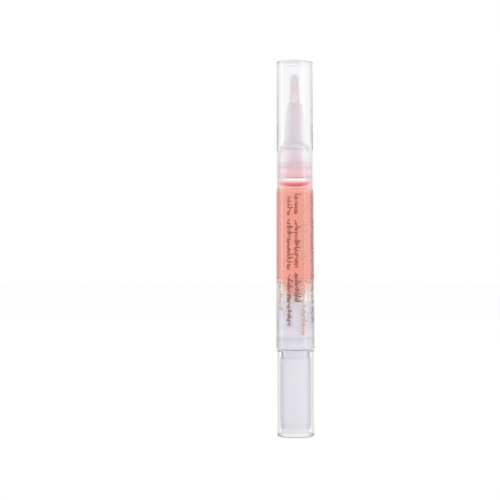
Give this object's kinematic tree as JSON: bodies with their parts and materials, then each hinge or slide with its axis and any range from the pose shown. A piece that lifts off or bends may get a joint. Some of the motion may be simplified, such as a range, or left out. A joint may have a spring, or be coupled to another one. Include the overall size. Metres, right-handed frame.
{
  "type": "nail oil pen",
  "caption": "Clear twist pen for nail oil: a turned knob feeds oil to a brush under a pull-off cap.",
  "frame": {"origin": "centre of the knob's flat floor, which the pen stands on", "axes": "+Z along the pen from the knob's floor to the top of the cap; +X and +Y square to it, with the retaining ring's split towards +X"},
  "size_m": [0.0138, 0.0138, 0.134],
  "materials": {
    "knob_shell": "polished clear",
    "drive_sleeve": "frosted translucent",
    "end_plug": "frosted translucent",
    "retaining_ring": "frosted translucent",
    "ratchet_ring": "translucent",
    "pawl_ring": "satin",
    "drive_nut": "translucent",
    "screw": "satin",
    "piston_core": "satin",
    "piston_seal": "soft translucent",
    "barrel": "polished clear",
    "oil_fill": "clear liquid",
    "nozzle": "frosted translucent",
    "nozzle_seal": "matt",
    "feed_tube": "clear",
    "brush_ferrule": "satin",
    "brush_tuft": "fine nylon bristles",
    "cap": "polished clear"
  },
  "bodies": {
    "barrel": {"barrel": "barrel", "oil_fill": "oil_fill", "nozzle": "nozzle", "nozzle_seal": "nozzle_seal", "feed_tube": "feed_tube", "brush_ferrule": "brush_ferrule", "brush_tuft": "brush_tuft", "retaining_ring": "retaining_ring", "ratchet_ring": "ratchet_ring", "drive_nut": "drive_nut"},
    "cap": {"cap": "cap"},
    "knob": {"knob_shell": "knob_shell", "drive_sleeve": "drive_sleeve", "end_plug": "end_plug", "pawl_ring": "pawl_ring"},
    "screw": {"screw": "screw"},
    "piston": {"piston_core": "piston_core", "piston_seal": "piston_seal"}
  },
  "joints": [
    {"name": "cap_pull", "type": "slide", "parent": "barrel", "child": "cap", "axis": [0, 0, 1], "range_m": [0, 0.044]},
    {"name": "knob_twist", "type": "hinge", "parent": "barrel", "child": "knob", "pos_m": [0, 0, 0], "axis": [0, 0, 1], "range_deg": [0, 4320]},
    {"name": "screw_feed", "type": "slide", "parent": "knob", "child": "screw", "axis": [0, 0, 1], "range_m": [0, 0.0301]},
    {"name": "piston_feed", "type": "slide", "parent": "barrel", "child": "piston", "axis": [0, 0, 1], "range_m": [0, 0.0301], "deforming": ["oil_fill"]}
  ],
  "couplings": [
    {"joint": "screw_feed", "follows": "knob_twist", "m_per_rad": 0.00039789},
    {"joint": "piston_feed", "follows": "knob_twist", "m_per_rad": 0.00039789}
  ]
}
